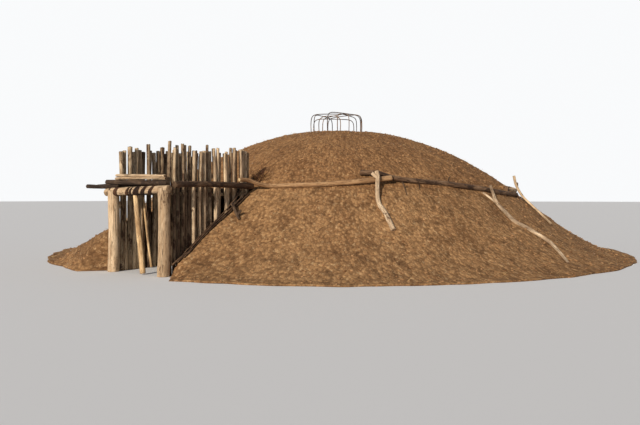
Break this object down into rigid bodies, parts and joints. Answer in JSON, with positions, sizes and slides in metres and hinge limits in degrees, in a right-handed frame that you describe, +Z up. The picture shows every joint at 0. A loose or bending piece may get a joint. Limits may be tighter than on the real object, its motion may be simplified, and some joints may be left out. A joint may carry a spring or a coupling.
{
  "type": "earth lodge",
  "caption": "Round earth-covered timber lodge with a pole-walled entrance passage, a ring of rails with forked props on the mound and a hoop cage over the smoke hole",
  "frame": {"origin": "on the ground, on the vertical line through the middle of the smoke hole", "axes": "+Z up; the doorway faces -Y; +X is to the right for someone who stands outside and faces the doorway"},
  "size_m": [18.4, 18.2646, 4.6454],
  "materials": {
    "bank_earth": "dry bare earth with small stones and sparse dead grass",
    "roof_earth": "dry bare earth, lighter and crusted",
    "thatch": "dry slough grass and willow brush",
    "pale_weathered_wood": "peeled cottonwood, sun-bleached and cracked",
    "grey_weathered_wood": "peeled poles, grey-brown, weathered",
    "dark_weathered_wood": "old dark poles with bark left on"
  },
  "bodies": {
    "root": {"earth_bank_1": "bank_earth", "earth_bank_2": "bank_earth", "earth_bank_3": "bank_earth", "earth_bank_4": "bank_earth", "earth_roof_1": "roof_earth", "earth_roof_2": "roof_earth", "earth_roof_3": "roof_earth", "earth_roof_4": "roof_earth", "thatch_wall": "thatch", "thatch_roof": "thatch", "wall_planks": "grey_weathered_wood", "central_posts": "grey_weathered_wood", "central_beams_x": "grey_weathered_wood", "central_beams_y": "grey_weathered_wood", "outer_posts": "grey_weathered_wood", "outer_stringers": "grey_weathered_wood", "rafters_long": "grey_weathered_wood", "rafters_short": "grey_weathered_wood", "smokehole_crib": "dark_weathered_wood", "smokehole_cage": "dark_weathered_wood", "door_post_left": "pale_weathered_wood", "door_post_right": "pale_weathered_wood", "lintel": "pale_weathered_wood", "front_log_dark": "dark_weathered_wood", "front_log_pale": "pale_weathered_wood", "front_poles": "dark_weathered_wood", "passage_wall_left": "grey_weathered_wood", "passage_wall_right": "grey_weathered_wood", "passage_ledgers": "grey_weathered_wood", "passage_roof_poles": "dark_weathered_wood", "passage_rail_left": "dark_weathered_wood", "passage_rail_right": "dark_weathered_wood", "leaning_poles": "pale_weathered_wood", "ring_rail_1": "pale_weathered_wood", "ring_rail_2": "grey_weathered_wood", "ring_rail_3": "grey_weathered_wood", "ring_rail_4": "grey_weathered_wood", "ring_rail_5": "grey_weathered_wood", "ring_rail_6": "grey_weathered_wood", "ring_rail_7": "grey_weathered_wood", "prop_front": "pale_weathered_wood", "prop_right_long": "pale_weathered_wood", "prop_right_far": "grey_weathered_wood", "prop_passage": "dark_weathered_wood", "props_back": "pale_weathered_wood", "slope_poles_right": "dark_weathered_wood", "slope_poles_left": "dark_weathered_wood"}
  },
  "joints": []
}
